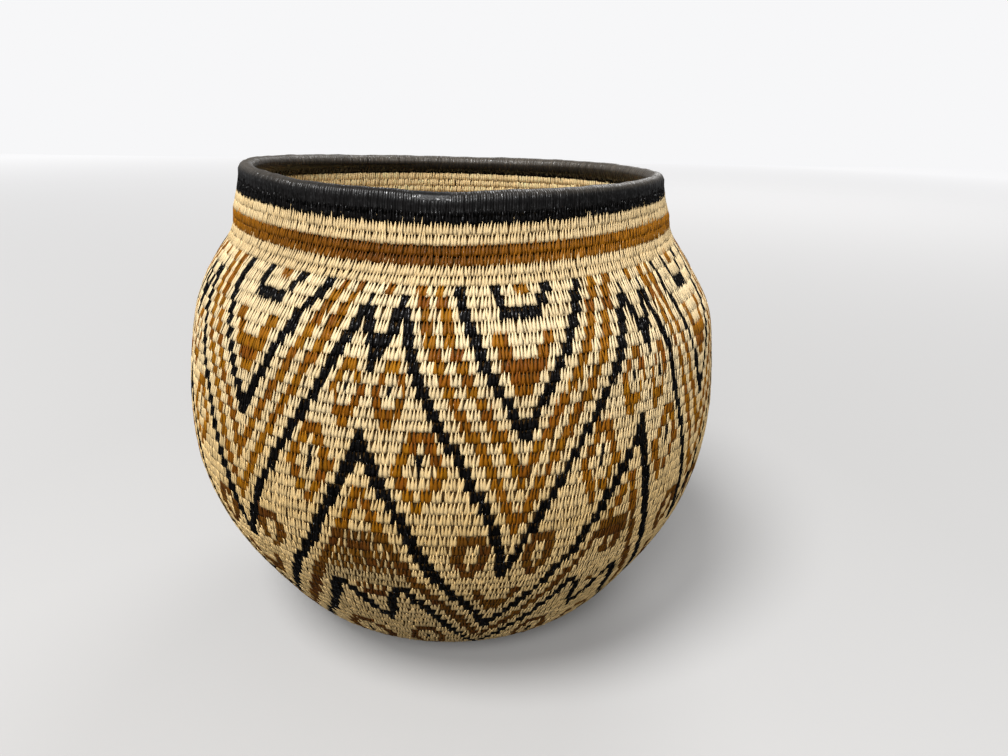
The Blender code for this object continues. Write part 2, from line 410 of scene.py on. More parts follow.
# The sewing strands of the outside and of the inside. The rows are stations from where
# a strand comes out of the round below to its tip, which lies over the next round.
outerStrand = dict(
    spacingAlong=(0.205, 0.255, 0.272),
    spacing=(0.00131, 0.00125, 0.00115),
    # Degrees by which the strands lean over, by their place along the wall
    leanAlong=(0.10, 0.168, 0.184, 0.205, 0.226, 0.238, 0.25, 0.262, 0.274, 0.285),
    leanLeft=(2.0, 4.0, 10.0, 8.0, 10.0, 9.0, 8.0, 14.0, 13.0, -1.0),
    leanMiddle=(3.0, 1.0, 2.0, 0.5, 3.0, 7.0, 2.0, 9.0, 5.0, 3.0),
    leanRight=(0.0, 2.0, 2.0, 6.0, 2.0, 4.0, -3.0, -3.0, 10.0, 4.0),
    leanFull=20.0,  # degrees to either side where the left and right values hold
    leanFade=60.0,  # degrees over which they fade out towards the back
    rise=(-0.12, 0.02, 0.24, 0.52, 0.86, 1.29),  # in rounds
    tipShare=(0.0, 0.0, 0.0, 0.0, 0.4, 1.0),  # how far a long or short tip moves them
    halfWidth=(0.0, 0.60, 0.63, 0.49, 0.25, 0.0),  # in spacings
    fuller=(1.0, 1.12, 1.25, 0.86),  # by fibre: cream, brown, black and tan
    depth=(0.0010, 0.00014, 0.0, 0.00002, 0.00003, 0.00006),
    section=((-1.0, 1.0), (0.0, 0.0), (1.0, 1.0), (0.0, 5.0)),
    edgeDepth=(0.0, 0.00006, 0.00007, 0.00014, 0.00022, 0.0),
    # Painted shade and light along the strand: dark at the foot, which lies in the shaded slot
    # between the tips below, and a painted highlight towards the tip
    shade=(0.40, 0.82, 0.94, 1.02, 1.07, 1.10),
)
innerStrand = dict(
    rise=(-0.05, 0.10, 0.60, 1.02, 1.34),
    tipShare=(0.0, 0.0, 0.0, 0.3, 1.0),
    halfWidth=(0.0, 0.64, 0.72, 0.52, 0.0),
    fuller=(1.0, 1.1, 1.25, 1.0),
    depth=(0.0009, 0.00015, 0.0, 0.00016, 0.00030),
    section=((-1.0, 1.0), (0.0, 0.0), (1.0, 1.0)),
    edgeDepth=(0.0, 0.00010, 0.00011, 0.00022, 0.0),
    # Painted light: the inside strands are made much brighter than their fibre, a little less at
    # the foot
    shade=(0.90, 1.38, 1.46, 1.46, 1.46),
)
unevenness = dict(
    width=0.16,
    place=0.14,
    rise=0.035,
    tip=0.13,
    depth=0.00007,
    lean=math.radians(4.2),
    most=2.3,  # of every chance value, in deviations
    # The longest tips are whiskers: longer still, and thinner
    whiskerFrom=1.1,
    whisker=0.16,
    whiskerThinner=0.12,
)

# Colours of the fibres. Each dye has two shades, and each strand of fibre, which lasts
# for some stitches, falls somewhere between them
fibreColours = dict(
    creamHigh=((0.790, 0.628, 0.370), (0.705, 0.537, 0.294)),
    # Painted shade: lower on the wall the cream is darker and more yellow, for the shade under the
    # belly
    creamLow=((0.785, 0.560, 0.262), (0.675, 0.462, 0.190)),
    creamNeck=((0.70, 0.525, 0.278), (0.61, 0.440, 0.215)),
    brownBand=((0.320, 0.122, 0.005), (0.092, 0.027, 0.002)),
    bandDarkAt=math.radians(-15),  # the brown band is darkest here, and this wide
    bandDarkWidth=math.radians(42),
    bandDarkness=0.75,
    bandChance=0.2,
    brownUpper=((0.300, 0.122, 0.004), (0.175, 0.050, 0.004)),
    brownLower=((0.150, 0.062, 0.005), (0.085, 0.026, 0.004)),
    black=((0.0045, 0.0040, 0.0040), (0.0025, 0.0022, 0.0022)),
    tanShare=0.68,  # of the cream, in the speckled field
    spread=(0.06, 0.13, 0.25, 0.08),  # of cream, brown, black and tan, stitch by stitch
    mostSpread=2.0,
    stitchesPerStrand=13,
    strandShare=0.7,  # of a stitch's shade that comes from its strand of fibre
    brightest=0.95,
    lowerBrownFrom=21,  # rounds below the neck where the darker brown starts
    lowFrom=0.170,  # along the wall, where the low cream turns into the high one
    lowTo=0.245,
)
dice = np.random.default_rng(61)


def strandTemplate(stations, sides):
    # Faces of one strand: a point, rings of section corners, and a point. Gives each
    # face's corner count, each corner's vertex, and its place round and along the strand
    top = stations - 2

    def onRing(ring, i):
        return 1 + (ring - 1) * sides + i % sides, i, ring

    faces = [[(0, i + 0.5, 0), onRing(1, i + 1), onRing(1, i)] for i in range(sides)]
    for ring in range(1, top):
        for i in range(sides):
            faces.append([onRing(ring, i), onRing(ring, i + 1),
                          onRing(ring + 1, i + 1), onRing(ring + 1, i)])
    tip = 1 + top * sides
    for i in range(sides):
        faces.append([onRing(top, i), onRing(top, i + 1), (tip, i + 0.5, top + 1)])
    sizes = np.array([len(face) for face in faces])
    corners = np.array([corner for face in faces for corner in face])
    return sizes, corners[:, 0].astype(int), corners[:, 1] / sides, corners[:, 2] / (stations - 1)


def strandCorners(points):
    # Corners of each strand in the order of its template: foot, rings and tip
    rings = points[:, 1:-1].reshape(len(points), -1, 3)
    return np.concatenate([points[:, :1, 1], rings, points[:, -1:, 1]], axis=1)


def overCorners(values, sides):
    # One value for each station, given to all corners that stand there
    return np.concatenate([values[:1], np.repeat(values[1:-1], sides), values[-1:]])


def leanOf(along, angle=0.0):
    # Degrees of lean: the middle value in front, the others to either side
    left, middle, right = (
        np.interp(along, outerStrand["leanAlong"], outerStrand[side])
        for side in ("leanLeft", "leanMiddle", "leanRight")
    )
    degrees = np.degrees(angle)
    fade = outerStrand["leanFade"]
    beside = np.clip(np.abs(degrees) / outerStrand["leanFull"], 0.0, 1.0)
    beside = beside * np.clip(180.0 / fade - np.abs(degrees) / fade, 0.0, 1.0)
    return middle + (np.where(degrees < 0.0, left, right) - middle) * beside


def strandPoints(angle, turn, count, shape, side, code):
    # Strand j stands at its own angle. At each station it has risen along the wall by
    # a share of a round, leaned over by the same rise, and lies at a depth; each
    # section corner is moved sideways by the half width and inwards by its own depth.
    # The black round is sewn up to a level top
    number = len(angle)
    risen, leant, moved, wider, deeper, longer = dice.normal(size=(6, number, 1)).clip(
        -unevenness["most"], unevenness["most"]
    )
    opposed = np.where(np.arange(len(shape["rise"])) < 2, -1.0, 1.0)  # foot against tip
    rise = np.array(shape["rise"])[None, :] + unevenness["rise"] * risen * opposed
    whisker = longer > unevenness["whiskerFrom"]
    longer = unevenness["tip"] * longer + unevenness["whisker"] * whisker
    rise = rise + longer * np.array(shape["tipShare"])
    turns, around = turn[:, None], angle[:, None]
    low = alongOf(turns, around)
    top = np.where(turns < blackStart, alongOf(turns + 1.0, around), wallLength)
    along = np.where(turns < blackStart, alongOf(turns + rise, around), low + rise * (top - low))
    middle = (low + top) / 2.0
    lean = np.tan(np.radians(leanOf(middle, around)) * side + unevenness["lean"] * leant)
    station = angle[:, None] + lean * (along - middle) / radiusAt(middle)
    spacing = 2.0 * np.pi / count
    station = station + unevenness["place"] * spacing * moved
    width = np.array(shape["halfWidth"])[None, :] * spacing * (1 + unevenness["width"] * wider)
    width = width * np.array(shape["fuller"])[code][:, None]
    width = width * (1.0 - unevenness["whiskerThinner"] * whisker)
    depth = np.array(shape["depth"])[None, :] + unevenness["depth"] * deeper
    sideways, inwards = np.array(shape["section"]).T
    angles = station[:, :, None] + width[:, :, None] * sideways
    depths = depth[:, :, None] + inwards * np.array(shape["edgeDepth"])[None, :, None]
    if side < 0:
        depths = coil["thickness"] - depths
    alongs = np.broadcast_to(along[:, :, None], angles.shape)
    return strandCorners(place(angles, alongs, depths))


# Every piece has two maps. In the bake map each strand has a cell and each strip of a
# tube a row, with a free edge. The grain map runs along the strands
mapLayout = dict(
    cellEdge=(0.08, 0.06),
    stripEdge=0.04,
    capPlace=0.999,  # where the ends of a tube lie
    grainReach=40.0,  # how far a strand's grain may be moved
    grainAcross=4.0,
)


def putInScene(name, data):
    # The object of a mesh, a lamp or a camera, at the origin and unturned
    thing = bpy.data.objects.new(name, data)
    bpy.context.scene.collection.objects.link(thing)
    return thing


def dressMesh(name, mesh, bakeMap, grainMap, colours, materials):
    # Gives a mesh its two maps (by face corner), its fibre colours (by vertex) and its
    # materials
    for layerName, corners in (("OFBake", bakeMap), ("grain", grainMap)):
        layer = mesh.uv_layers.new(name=layerName)
        layer.uv.foreach_set("vector", corners.astype(np.float32).ravel())
    layer = mesh.color_attributes.new(name="fibreColour", type="FLOAT_COLOR", domain="POINT")
    opaque = np.concatenate([colours, np.ones((len(colours), 1))], axis=1)
    layer.data.foreach_set("color", opaque.astype(np.float32).ravel())
    for material in materials:
        mesh.materials.append(material)
    mesh.shade_smooth()
    mesh.validate()
    return putInScene(name, mesh)


class MeshStack:
    # Collects batches of equal strands, and makes one mesh of them all
    def __init__(self):
        self.points, self.sizes, self.corners, self.places = [], [], [], []
        self.colours, self.slots = [], []
        self.strands = self.vertices = 0

    def add(self, points, template, colours, slots, flip=False):
        sizes, corner, around, along = template
        number, per = points.shape[:2]
        if flip:  # every face the other way round
            ends = np.cumsum(sizes)
            order = np.concatenate([end - 1 - np.arange(size) for end, size in zip(ends, sizes)])
            corner, around, along = corner[order], around[order], along[order]
        first = self.vertices + np.arange(number)[:, None] * per
        self.points.append(points.reshape(-1, 3))
        self.sizes.append(np.tile(sizes, number))
        self.corners.append((first + corner).ravel())
        strand = self.strands + np.arange(number)
        self.places.append((np.repeat(strand, len(corner)), np.tile(around, number),
                            np.tile(along, number)))
        self.colours.append(colours.reshape(-1, 3))
        self.slots.append(np.repeat(slots, len(sizes)))
        self.vertices += number * per
        self.strands += number

    def build(self, name, materials):
        points = np.concatenate(self.points)
        sizes = np.concatenate(self.sizes)
        corners = np.concatenate(self.corners)
        strand, around, along = (np.concatenate(part) for part in zip(*self.places))
        mesh = bpy.data.meshes.new(name)
        mesh.vertices.add(len(points))
        mesh.vertices.foreach_set("co", points.astype(np.float32).ravel())
        mesh.loops.add(len(corners))
        mesh.loops.foreach_set("vertex_index", corners.astype(np.int32))
        mesh.polygons.add(len(sizes))
        starts = np.cumsum(sizes) - sizes
        mesh.polygons.foreach_set("loop_start", starts.astype(np.int32))
        mesh.polygons.foreach_set("material_index", np.concatenate(self.slots).astype(np.int32))
        mesh.update(calc_edges=True)
        columns = math.ceil(math.sqrt(self.strands))
        edgeX, edgeY = mapLayout["cellEdge"]
        cellX = (strand % columns + edgeX + (1.0 - 2.0 * edgeX) * around) / columns
        cellY = (strand // columns + edgeY + (1.0 - 2.0 * edgeY) * along) / columns
        bakeMap = np.stack([cellX, cellY], axis=1)
        # The grain map is in strand lengths, moved by a chance amount for each strand
        offset = dice.uniform(0.0, mapLayout["grainReach"], size=(self.strands, 2))[strand]
        grainMap = np.stack([around, along], axis=1) + offset
        return dressMesh(name, mesh, bakeMap, grainMap, np.concatenate(self.colours), materials)


def strandColours(code, row, angle, shades, sides, along=1.0):
    # Fibre colour of each stitch: a blend of the dye's two shades by the length of fibre
    # that it belongs to and by chance, times painted shade and light along the strand:
    # painted shade towards the end where it dives in, painted highlight towards the tip
    number = len(angle)
    # Painted shade: share of the darker, more yellow low cream, growing down the wall
    low = smoothStep(
        (fibreColours["lowTo"] - along) / (fibreColours["lowTo"] - fibreColours["lowFrom"])
    )
    high, browns = "creamHigh", "brownUpper"
    if row < 0:
        high, browns = "creamNeck", "brownBand"
    elif row >= fibreColours["lowerBrownFrom"]:
        browns = "brownLower"
    creams = np.array(fibreColours[high]) * (1.0 - low) + np.array(fibreColours["creamLow"]) * low
    table = np.stack(
        [creams, fibreColours[browns], fibreColours["black"], creams * fibreColours["tanShare"]]
    )
    lengths = number // fibreColours["stitchesPerStrand"] + 2
    length = (np.arange(number) / fibreColours["stitchesPerStrand"] + dice.uniform()).astype(int)
    lot = dice.uniform(size=(4, lengths))[code, length]
    own = fibreColours["strandShare"]
    blend = own * lot + (1.0 - own) * dice.uniform(size=number)
    if browns == "brownBand":
        off = (angle - fibreColours["bandDarkAt"]) / fibreColours["bandDarkWidth"]
        banded = fibreColours["bandChance"] * blend
        banded = banded + fibreColours["bandDarkness"] * np.exp(-(off**2))
        blend = np.where(code == brown, banded, blend)
    blend = blend[:, None]
    spread = np.array(fibreColours["spread"])[code][:, None]
    most = fibreColours["mostSpread"]
    light = 1.0 + spread * dice.normal(size=(number, 1)).clip(-most, most)
    colour = (table[code, 0] * (1.0 - blend) + table[code, 1] * blend) * light
    # Painted shade at the foot and painted highlight towards the tip, station by station
    shade = overCorners(shades, sides)[None, :, None]
    return (colour[:, None, :] * shade).clip(0.0, fibreColours["brightest"])


def feed(tree, socket, value):
    # Links a shader value to a socket, or sets the socket to a plain one
    if isinstance(value, Value):
        tree.links.new(value.socket, socket)
    else:
        socket.default_value = value


class Value:
    # A shader socket that can be used in a sum like a number
    def __init__(self, socket, tree):
        self.socket, self.tree = socket, tree

    def maths(self, operation, first, second=0.0):
        node = self.tree.nodes.new("ShaderNodeMath")
        node.operation = operation
        for socket, value in zip(node.inputs, (first, second)):
            feed(self.tree, socket, value)
        return Value(node.outputs[0], self.tree)

    def __add__(self, other):
        return self.maths("ADD", self, other)

    def __radd__(self, other):
        return self.maths("ADD", other, self)

    def __sub__(self, other):
        return self.maths("SUBTRACT", self, other)

    def __rsub__(self, other):
        return self.maths("SUBTRACT", other, self)

    def __mul__(self, other):
        return self.maths("MULTIPLY", self, other)

    def __rmul__(self, other):
        return self.maths("MULTIPLY", other, self)


class Finish:
    # One material. node() adds any node: its settings come first, then its sockets, by
    # name or, as in n3, by number
    def __init__(self, name, **shader):
        self.material = bpy.data.materials.new(name)
        self.material.use_nodes = True
        self.tree = self.material.node_tree
        self.principled = self.tree.nodes["Principled BSDF"]
        self.feedShader(**shader)

    def node(self, kind, output=0, settings=None, **sockets):
        made = self.tree.nodes.new("ShaderNode" + kind)
        for setting, value in (settings or {}).items():
            setattr(made, setting, value)
        for socket, value in sockets.items():
            spot = made.inputs[int(socket[1:])] if socket[1:].isdigit() else made.inputs[socket]
            feed(self.tree, spot, value)
        return Value(made.outputs[output], self.tree)

    def feedShader(self, **sockets):
        for socket, value in sockets.items():
            feed(self.tree, self.principled.inputs[socket.replace("_", " ")], value)


# What all fibres share: fine streaks, clouds of soiling over the whole basket, and
# glossy spots
fibreFinish = dict(
    grainScale=(12.8, 2.4, 1.0),  # across and along a strand
    grainDetail=2.0,
    patternRoughness=0.6,
    streakStrength=0.30,
    bumpStrength=0.6,
    bumpHeight=0.00006,
    cloudScale=38.0,
    cloudDetail=3.0,
    cleanBelow=0.35,  # of the cloud pattern: lighter under it, darker over it
    soiling=0.10,
    spotScale=900.0,
    spotFrom=0.56,
    spotTo=0.68,
    coatRoughness=0.16,
)
# What differs from fibre to fibre: roughness and how far the streaks change it, glossy
# spots, strength of the streaks, shine and depth of the ridges
fibreLooks = dict(
    creamFibre=dict(roughness=0.48, spread=0.30, glint=0.0, streak=1.5, shine=0.30, ridges=1.4),
    brownFibre=dict(roughness=0.48, spread=0.40, glint=0.25, streak=2.4, shine=0.10, ridges=1.5),
    blackFibre=dict(roughness=0.44, spread=0.40, glint=1.0, streak=1.6, shine=0.04, ridges=3.0),
    rimFibre=dict(roughness=0.34, spread=0.36, glint=1.0, streak=1.6, shine=0.24, ridges=2.0),
    foundationFibre=dict(roughness=0.85, spread=0.1, glint=0.0, streak=1.0, shine=0.1, ridges=1.0),
)


def fibreMaterial(name):
    # Split palm fibre: the strand's own colour, fine streaks along it, faint cloudy
    # soiling over the whole basket, and glossy spots where the dye has left it slick
    look, finer = fibreLooks[name], fibreFinish
    finish = Finish(name, Specular_IOR_Level=look["shine"], Coat_Roughness=finer["coatRoughness"])
    grain = finish.node("UVMap", settings=dict(uv_map="grain"))
    scaled = finish.node("VectorMath", settings=dict(operation="MULTIPLY"), n0=grain,
                         n1=finer["grainScale"])
    streaks = finish.node("TexNoise", Vector=scaled, Scale=1.0, Detail=finer["grainDetail"],
                          Roughness=finer["patternRoughness"])
    where = finish.node("TexCoord", output=3)  # Object coordinates
    clouds = finish.node("TexNoise", Vector=where, Scale=finer["cloudScale"],
                         Detail=finer["cloudDetail"], Roughness=finer["patternRoughness"])
    strand = finish.node("Attribute", settings=dict(attribute_name="fibreColour"))
    streakTone = 1.0 + (streaks - 0.5) * (2.0 * finer["streakStrength"] * look["streak"])
    soilTone = 1.0 - (clouds - finer["cleanBelow"]) * (2.0 * finer["soiling"])
    tone = streakTone * soilTone
    toneColour = finish.node("CombineXYZ", X=tone, Y=tone, Z=tone)
    colour = finish.node("VectorMath", settings=dict(operation="MULTIPLY"), n0=strand,
                         n1=toneColour)
    bump = finish.node("Bump", Height=streaks, Strength=finer["bumpStrength"],
                       Distance=finer["bumpHeight"] * look["ridges"])
    finish.feedShader(
        Base_Color=colour,
        Roughness=look["roughness"] + (streaks - 0.5) * look["spread"],
        Normal=bump,
    )
    if look["glint"]:
        spots = finish.node("TexNoise", Vector=where, Scale=finer["spotScale"], Detail=1.0)
        slick = finish.node("MapRange", n0=spots, n1=finer["spotFrom"], n2=finer["spotTo"],
                            n3=0.0, n4=look["glint"])
        finish.feedShader(Coat_Weight=slick)
    return finish.material


fibreMaterials = [fibreMaterial(name) for name in ("creamFibre", "brownFibre", "blackFibre")]
print("fibres dyed")

# How many stitches a round has: at least a few, and in steps so that the stitches of
# neighbouring rounds mostly interlock
sewing = dict(
    fewest=8,
    step=20,
    floorStep=2,
    floorLength=0.2,  # rounds that are shorter than this use the step of the floor
)


def radiusOfRound(roundNumber):
    # Radius of the basket at the upper edge of a round
    return float(radiusAt(alongOf(roundNumber + 1.0, 0.0)))


def stitchCount(roundNumber):
    # Stitches in a round: its length over the spacing, rounded to whole steps
    length = 2.0 * np.pi * radiusOfRound(roundNumber)
    step = sewing["step"] if length > sewing["floorLength"] else sewing["floorStep"]
    spacing = np.interp(alongOf(roundNumber + 1.0, 0.0), outerStrand["spacingAlong"],
                        outerStrand["spacing"])
    return max(sewing["fewest"], step * round(length / spacing / step))


def roundPhases(rounds):
    # Where the first stitch of each round stands: each tip falls between the feet of
    # two stitches of the round above
    phases = [0.0]
    for k in range(rounds):
        height = float(alongOf(k + 1.5, 0.0) - alongOf(k + 0.5, 0.0))
        lean = math.radians(leanOf(float(alongOf(k + 1.0, 0.0))))
        shift = math.tan(lean) * height / (2.0 * math.pi * radiusOfRound(k))
        phases.append(phases[-1] + shift + 0.5 / stitchCount(k))
    return phases


lastTurn = blackStart + 1.0
phases = roundPhases(neckTop + 1)
outerTemplate = strandTemplate(len(outerStrand["rise"]), len(outerStrand["section"]))
innerTemplate = strandTemplate(len(innerStrand["rise"]), len(innerStrand["section"]))


def codeOf(turn, degrees):
    # Fibre of each stitch of a round: plain floor, figures on the wall, bands on top
    roundNumber = int(turn[0])
    if wallStart <= roundNumber < bodyRounds:
        return figureColour(bodyRounds - 1 - roundNumber, degrees)
    code = np.full(len(turn), cream)
    code[(turn >= brownStart) & (turn < brownEnd)] = brown
    code[turn >= blackStart] = black
    return code


def sewRound(stack, roundNumber):
    # One round of stitches: the strands outside, and the same strands inside the wall
    like = min(roundNumber, neckTop)  # both turns of the black round are sewn alike
    count = stitchCount(like)
    share = np.sort(((np.arange(count) + 0.5) / count + phases[like]) % 1.0)
    share = share[roundNumber + share < lastTurn]
    turn = roundNumber + share
    angle = 2.0 * np.pi * (share - 0.5)
    code = codeOf(turn, np.degrees(angle))
    row = bodyRounds - 1 - roundNumber
    along = float(alongOf(roundNumber + 1.0, 0.0))
    for shape, template, side in (
        (outerStrand, outerTemplate, 1.0),
        (innerStrand, innerTemplate, -1.0),
    ):
        points = strandPoints(angle, turn, count, shape, side, code)
        sides = len(shape["section"])
        colours = strandColours(code, row, angle, shape["shade"], sides, along)
        slots = np.where(code == tan, cream, code)
        stack.add(points, template, colours, slots, flip=side < 0)


def sewPiece(node, firstRound, rounds):
    stack = MeshStack()
    for k in range(firstRound, firstRound + rounds):
        sewRound(stack, k)
    piece = stack.build("stitches_" + node, fibreMaterials)
    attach(piece, "root")
    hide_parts(node)


sewPiece("start_knot", 0, coil["knotRounds"])
nextRound = coil["knotRounds"]
for i in range(coil["floorCourses"]):
    sewPiece(f"floor_course_{i + 1}", nextRound, coil["roundsPerCourse"])
    nextRound += coil["roundsPerCourse"]
print("floor sewn")
for i in range(coil["wallCourses"]):
    sewPiece(f"wall_course_{i + 1:02d}", nextRound, coil["roundsPerCourse"])
    nextRound += coil["roundsPerCourse"]
print("wall sewn")
for node, slot in (
    ("neck_cream_band_lower", "cream_fibre"),
    ("neck_brown_band", "brown_fibre"),
    ("neck_cream_band_upper", "cream_fibre"),
):
    sewPiece(node, nextRound, coil["neckBandRounds"])
    nextRound += coil["neckBandRounds"]
sewPiece("neck_black_round", nextRound, 2)  # its one round spans two turns
print("neck sewn")

# The foundation: one bundle of fibre that lies in every round, from knot to rim
foundation = dict(
    sides=8,
    pointsPerTurn=120,
    fill=0.485,  # half of a round, less a hair
    depth=0.00085,  # of its skin under the ridge of a round
    # Painted shade: much darker than the fibre itself, so that the gaps between the strands look
    # dark
    colour=(0.065, 0.034, 0.009),
    startTurn=0.35,
    blackEarly=0.04,  # turns before the black round where it is dyed black
    probe=0.0005,  # how far its directions are felt for
)


def tube(points, sideways, inwards, halfWidth, halfDepth, sides):
    # Oval tube along a path: corner i stands at an angle round the path's point, with
    # the two half axes along the two given directions
    corner = 2.0 * np.pi * (np.arange(sides) + 0.5) / sides
    a = np.cos(corner)[None, :, None] * halfWidth[:, None, None] / math.cos(math.pi / sides)
    b = np.sin(corner)[None, :, None] * halfDepth[:, None, None] / math.cos(math.pi / sides)
    return points[:, None] + a * sideways[:, None] + b * inwards[:, None]


def tubeMesh(name, rings, closed, perStrip, material, colour):
    # Skin of a tube from its rings: four-sided faces between neighbouring corners, and
    # a flat face at each end of an open one
    count, sides = rings.shape[:2]
    spans = count if closed else count - 1
    i, j = np.meshgrid(np.arange(spans), np.arange(sides), indexing="ij")
    nextRing, nextSide = (i + 1) % count, (j + 1) % sides
    quads = np.stack(
        [i * sides + j, nextRing * sides + j, nextRing * sides + nextSide, i * sides + nextSide],
        axis=-1,
    )
    strips = math.ceil(spans / perStrip)
    left, right = (i % perStrip) / perStrip, (i % perStrip + 1) / perStrip
    edge = mapLayout["stripEdge"]
    low, high = (
        (i // perStrip + edge + (1.0 - 2.0 * edge) * side / sides) / strips for side in (j, j + 1)
    )
    bakeMap = np.stack([left, low, right, low, right, high, left, high], axis=-1).reshape(-1, 2)
    faces = quads.reshape(-1, 4).tolist()
    if not closed:
        end = count * sides
        faces += [list(range(sides)), list(range(end - 1, end - sides - 1, -1))]
        bakeMap = np.concatenate([bakeMap, np.full((2 * sides, 2), mapLayout["capPlace"])])
    mesh = bpy.data.meshes.new(name)
    mesh.from_pydata(rings.reshape(-1, 3).tolist(), [], faces)
    grainMap = bakeMap * (perStrip, mapLayout["grainAcross"])
    colours = np.broadcast_to(np.reshape(colour, (-1, 1, 3)), (count, sides, 3)).reshape(-1, 3)
    return dressMesh(name, mesh, bakeMap, grainMap, colours, [material])


def layFoundation():
    # The path follows the coil half a round above its lower edge, at mid depth
    count = round(lastTurn * foundation["pointsPerTurn"]) + 1
    turn = np.linspace(foundation["startTurn"], lastTurn, count)
    angle = 2.0 * np.pi * (turn - 0.5)
    low = alongOf(turn, angle)
    high = np.minimum(alongOf(turn + 1.0, angle), wallLength)
    high = np.where(turn >= lastTurn - 1.0, wallLength, high)
    middle = (low + high) / 2.0
    depth = np.full(count, coil["thickness"] / 2.0)
    centre = place(angle, middle, depth)
    step = foundation["probe"]
    up = place(angle, middle + step, depth) - place(angle, middle - step, depth)
    up /= np.linalg.norm(up, axis=1, keepdims=True)
    inwards = place(angle, middle, depth + step) - centre
    inwards /= np.linalg.norm(inwards, axis=1, keepdims=True)
    halfWidth = (high - low) * foundation["fill"] * math.cos(math.pi / foundation["sides"])
    halfDepth = np.full(count, coil["thickness"] / 2.0 - foundation["depth"])
    dyed = (turn > blackStart - foundation["blackEarly"])[:, None]
    # Black where dyed under the black round; elsewhere the dark colour of painted shade
    tints = np.where(dyed, fibreColours["black"][0], foundation["colour"])
    return tube(centre, up, inwards, halfWidth, halfDepth, foundation["sides"]), tints


# The knot that the coil starts from
knot = dict(
    radius=0.0029,
    halfHeight=0.0019,
    ridges=9,
    ridgeDepth=0.12,
    sides=54,
    rings=11,
    flatEnds=0.98,  # where it is cut at top and bottom, in half heights
    twist=2.0,
)


def tieKnot():
    # A squashed ball: the radius falls off as a circle does towards top and bottom, and
    # grows and shrinks by a cosine round it, one ridge for each strand that ties it
    level = np.linspace(knot["flatEnds"], -knot["flatEnds"], knot["rings"])[:, None]
    around = 2.0 * np.pi * np.arange(knot["sides"])[None, :] / knot["sides"]
    reach = knot["radius"] * np.sqrt(1.0 - level**2)
    ridge = np.cos(knot["ridges"] * around + knot["twist"] * level)
    reach = reach * (1.0 + knot["ridgeDepth"] * ridge)
    height = coil["thickness"] / 2.0 + knot["halfHeight"] * level * np.ones_like(around)
    return np.stack([reach * np.cos(around), reach * np.sin(around), height], axis=-1)


knotPiece = tubeMesh(
    "knot_middle", tieKnot(), False, knot["rings"], fibreMaterials[cream],
    fibreColours["creamLow"][1],
)
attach(knotPiece, "root")

foundationRings, foundationTints = layFoundation()
foundationPiece = tubeMesh(
    "foundation_coil", foundationRings, False, foundation["pointsPerTurn"],
    fibreMaterial("foundationFibre"), foundationTints,
)
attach(foundationPiece, "root")
print("foundation laid")

# The rim: a thick roll, wrapped round and round with black strand. Each wrap starts on
# the outside of the top round, swells over the roll and ends on the inside
rim = dict(
    radius=0.0033,
    leanIn=0.0009,
    gap=0.0003,
    wraps=640,
    footBelow=0.0019,  # how far under the top of the wall a wrap starts
    footRise=0.6,  # share of that by which it has risen where it leaves the wall
    footStands=0.0002,
    # A wrap goes round the roll from this angle (0 is outside) and by this much, and
    # blends into the wall over this share of its length at either end
    rollFrom=-58.0,
    rollBy=296.0,
    blendShare=0.16,
    wrapDepth=0.00010,
    tipDepth=0.0006,
    tipShare=0.001,  # of its length at either end that dives that deep
    steps=13,
    halfWidth=1.45,  # in spacings, so that the wraps lie over each other
    wrapLength=0.018,
    lean=math.radians(3.5),
    # Chance of a wrap's ends, place, width (all in shares) and depth
    endChance=0.012,
    placeChance=0.14,
    widthChance=0.15,
    depthChance=0.000015,
    lumps=0.07,
    # Waves of the swelling: how many go round, where they start, how strong they are
    waves=((5.0, 0.8, 1.0), (9.0, 2.1, 0.8), (17.0, 4.0, 0.7), (31.0, 1.0, 0.6),
           (53.0, 2.0, 0.5)),
    coreSteps=240,
    coreSides=12,
    coreUnder=0.00016,  # how far the core lies under the wraps
    # Warm grey on the tops of the wraps: partly dust, partly painted sheen where they catch the
    # light
    dustAndSheen=0.95,
    dustAndSheenColour=(0.088, 0.075, 0.060),
    dustAndSheenChance=(0.6, 1.05),
    dustAndSheenTurned=20.0,  # degrees from the top towards the inside where it lies thickest
    dustAndSheenFrom=-0.15,  # height on the roll, in radii, where it starts
    dustAndSheenRise=0.85,
    greyLeastAt=math.radians(-12),  # the dust and painted sheen are weakest here, over this width
    greyLeastWidth=math.radians(42),
    greyLeast=0.93,
    # The roll sits higher or lower on the wall at some angles (degrees, mm)
    seatAt=(-180, -140, -100, -75, -40, -25, -16, -10, -5, 0, 7, 18, 40, 60, 90, 180),
    seat=(0, 0.6, 1.3, 0.8, 0, 0.4, 0.7, 0, -0.9, -0.3, 0.4, 0.6, 0.1, -0.1, 0, 0),
)


def rimCentre():
    # Middle of the roll: over the middle of the top round, leaning in a little
    steps = wallLength - np.array([0.0, 0.0, 1.0, 1.0]) * coil["thickness"]
    depths = np.array([0.0, 1.0, 0.0, 1.0]) * coil["thickness"]
    corners = place(np.zeros(4), steps, depths)[:, 1:] * (-1.0, 1.0)
    middle, under = corners[:2].mean(axis=0), corners[2:].mean(axis=0)
    direction = (middle - under) / np.linalg.norm(middle - under)
    centre = middle + direction * (rim["radius"] + rim["gap"])
    centre[1] -= liftOf(0.0, wallLength)
    return centre[0] - rim["leanIn"], centre[1]


rimRadius, rimHeight = rimCentre()


def lumpOf(angle):
    # Slow swelling of the roll as one goes round: a few waves laid over each other
    waves = sum(strong * np.sin(many * angle + start) for many, start, strong in rim["waves"])
    return waves * rim["lumps"] / 2.0


def rollPoint(angle, roll, reach):
    # Point of the roll: its circle round the axis, moved out by the reach at the roll
    # angle, which is 0 outside and a quarter turn on top
    radius = rimRadius + reach * np.cos(roll)
    height = rimHeight + reach * np.sin(roll) + liftOf(angle, wallLength)
    height = height + mm * np.interp(np.degrees(angle), rim["seatAt"], rim["seat"])
    return np.stack([radius * np.sin(angle), -radius * np.cos(angle), height], axis=-1)


